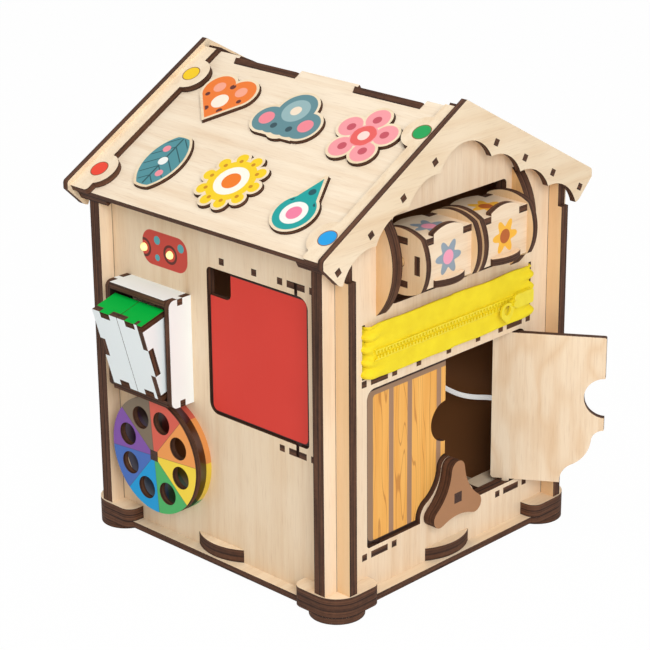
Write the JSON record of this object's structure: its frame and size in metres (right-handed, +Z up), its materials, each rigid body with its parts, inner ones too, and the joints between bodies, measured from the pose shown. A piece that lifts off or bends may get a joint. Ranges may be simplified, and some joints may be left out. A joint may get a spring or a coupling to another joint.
{
  "type": "busy house",
  "caption": "Free-standing plywood activity house with opening doors, zip, spinning blocks, colour wheel, rocker keys and a roof puzzle.",
  "frame": {"origin": "on the plane the four feet rest on, under the middle of the house walls", "axes": "+Z up, -Y towards the front gable with the double door, -X towards the side with the colour wheel"},
  "size_m": [0.2379, 0.2443, 0.283],
  "materials": {
    "birch_ply": "satin laser-cut birch plywood, dark cut edges",
    "base_ply": "satin birch plywood, dark cut edges",
    "trim_ply": "satin birch plywood, dark cut edges",
    "roof_ply": "satin birch plywood, dark cut edges",
    "gable_ply": "satin birch plywood, dark cut edges",
    "side_ply": "satin birch plywood with a small printed field",
    "inner_ply": "satin birch plywood",
    "door_ply": "satin birch plywood",
    "spinner_ply": "satin birch plywood with printed fields",
    "orange_ply": "printed orange planks on plywood",
    "brown_ply": "brown printed plywood",
    "dark_ply": "laser-browned plywood",
    "red_ply": "red printed plywood",
    "white_ply": "white printed plywood, dark cut edges",
    "key_print": "white printed plywood with small coloured marks",
    "key_side_ply": "white printed plywood, dark cut edges",
    "cap_ply": "green and red printed plywood",
    "wheel_print": "printed colour sectors on plywood",
    "wheel_back_print": "printed colour sectors on plywood",
    "dowel": "plain dowel",
    "yellow_tape": "woven zip tape",
    "yellow_plastic": "moulded plastic",
    "lamp": "clear warm lamp",
    "white_lead": "soft insulated lead",
    "black_plastic": "moulded plastic",
    "piece_orange": "printed plywood piece",
    "piece_grey": "printed plywood piece",
    "piece_pink": "printed plywood piece",
    "piece_teal": "printed plywood piece",
    "piece_yellow": "printed plywood piece",
    "piece_turquoise": "printed plywood piece"
  },
  "bodies": {
    "house": {"feet": "base_ply", "base_plate": "base_ply", "corner_brackets": "base_ply", "half_moons": "base_ply", "front_wall_outer": "gable_ply", "front_wall_inner": "inner_ply", "rear_wall_outer": "gable_ply", "rear_wall_inner": "inner_ply", "left_wall_outer": "side_ply", "left_wall_inner": "inner_ply", "right_wall_outer": "side_ply", "right_wall_inner": "inner_ply", "hinge_lugs": "birch_ply", "roof_panel_left": "roof_ply", "roof_panel_right": "roof_ply", "end_strips": "trim_ply", "roof_rails": "birch_ply", "puzzle_backing": "birch_ply", "bargeboards": "trim_ply", "zip_tape": "yellow_tape", "zip_teeth": "yellow_plastic", "spinner_brackets": "birch_ply", "spinner_axle": "dowel", "wheel_back": "wheel_back_print", "wheel_washer": "birch_ply", "switch_sides": "white_ply", "switch_shelves": "white_ply", "rocker_axle": "dowel", "lamps": "lamp", "lamp_lead": "white_lead", "battery_box": "black_plastic"},
    "left_door": {"left_door": "orange_ply"},
    "right_door": {"right_door": "door_ply"},
    "latch": {"door_latch": "brown_ply", "latch_peg": "dark_ply", "latch_keeper": "birch_ply"},
    "slider": {"zip_slider": "yellow_plastic"},
    "pull": {"zip_pull": "yellow_plastic"},
    "left_spinner": {"left_spinner_ends": "spinner_ply", "left_spinner_sides": "spinner_ply", "left_spinner_flats": "spinner_ply"},
    "right_spinner": {"right_spinner_ends": "spinner_ply", "right_spinner_sides": "spinner_ply", "right_spinner_flats": "spinner_ply"},
    "red_door": {"red_door": "red_ply"},
    "wheel": {"colour_wheel": "wheel_print", "wheel_peg": "dark_ply", "wheel_keeper": "birch_ply"},
    "front_key": {"front_key_plate": "key_print", "front_key_sides": "key_side_ply", "front_key_caps": "cap_ply"},
    "rear_key": {"rear_key_plate": "key_print", "rear_key_sides": "key_side_ply", "rear_key_caps": "cap_ply"},
    "piece_heart": {"puzzle_heart": "piece_orange"},
    "piece_cloud": {"puzzle_cloud": "piece_grey"},
    "piece_flower": {"puzzle_flower": "piece_pink"},
    "piece_leaf": {"puzzle_leaf": "piece_teal"},
    "piece_sun": {"puzzle_sun": "piece_yellow"},
    "piece_drop": {"puzzle_drop": "piece_turquoise"}
  },
  "joints": [
    {"name": "left_door_hinge", "type": "hinge", "parent": "house", "child": "left_door", "pos_m": [-0.0578, -0.0899, 0.082], "axis": [0, 0, 1], "range_deg": [-140, 0]},
    {"name": "right_door_hinge", "type": "hinge", "parent": "house", "child": "right_door", "pos_m": [0.0578, -0.0899, 0.082], "axis": [0, 0, 1], "range_deg": [-123, 17]},
    {"name": "latch_turn", "type": "hinge", "parent": "house", "child": "latch", "pos_m": [0, -0.0983, 0.045], "axis": [0, 1, 0], "continuous": true},
    {"name": "zip_slide", "type": "slide", "parent": "house", "child": "slider", "axis": [1, 0, 0], "range_m": [-0.116, 0]},
    {"name": "pull_swing", "type": "hinge", "parent": "slider", "child": "pull", "pos_m": [0.0475, -0.1017, 0.1516], "axis": [0, 1, 0], "continuous": true},
    {"name": "left_spinner_spin", "type": "hinge", "parent": "house", "child": "left_spinner", "pos_m": [-0.0239, -0.0991, 0.2012], "axis": [1, 0, 0], "continuous": true},
    {"name": "right_spinner_spin", "type": "hinge", "parent": "house", "child": "right_spinner", "pos_m": [0.0239, -0.0991, 0.2012], "axis": [1, 0, 0], "continuous": true},
    {"name": "red_door_hinge", "type": "hinge", "parent": "house", "child": "red_door", "pos_m": [-0.0896, -0.0644, 0.1406], "axis": [0, 0, 1], "range_deg": [0, 130]},
    {"name": "wheel_spin", "type": "hinge", "parent": "house", "child": "wheel", "pos_m": [-0.103, 0.0428, 0.0612], "axis": [1, 0, 0], "continuous": true},
    {"name": "front_key_rock", "type": "hinge", "parent": "house", "child": "front_key", "pos_m": [-0.1051, 0.0368, 0.1312], "axis": [0, 1, 0], "range_deg": [0, 31.8]},
    {"name": "rear_key_rock", "type": "hinge", "parent": "house", "child": "rear_key", "pos_m": [-0.1051, 0.0582, 0.1312], "axis": [0, 1, 0], "range_deg": [0, 31.8]},
    {"name": "lift_heart", "type": "slide", "parent": "house", "child": "piece_heart", "axis": [-0.4955, 0, 0.8686], "range_m": [0, 0.06]},
    {"name": "lift_cloud", "type": "slide", "parent": "house", "child": "piece_cloud", "axis": [-0.4955, 0, 0.8686], "range_m": [0, 0.06]},
    {"name": "lift_flower", "type": "slide", "parent": "house", "child": "piece_flower", "axis": [-0.4955, 0, 0.8686], "range_m": [0, 0.06]},
    {"name": "lift_leaf", "type": "slide", "parent": "house", "child": "piece_leaf", "axis": [-0.4955, 0, 0.8686], "range_m": [0, 0.06]},
    {"name": "lift_sun", "type": "slide", "parent": "house", "child": "piece_sun", "axis": [-0.4955, 0, 0.8686], "range_m": [0, 0.06]},
    {"name": "lift_drop", "type": "slide", "parent": "house", "child": "piece_drop", "axis": [-0.4955, 0, 0.8686], "range_m": [0, 0.06]}
  ]
}
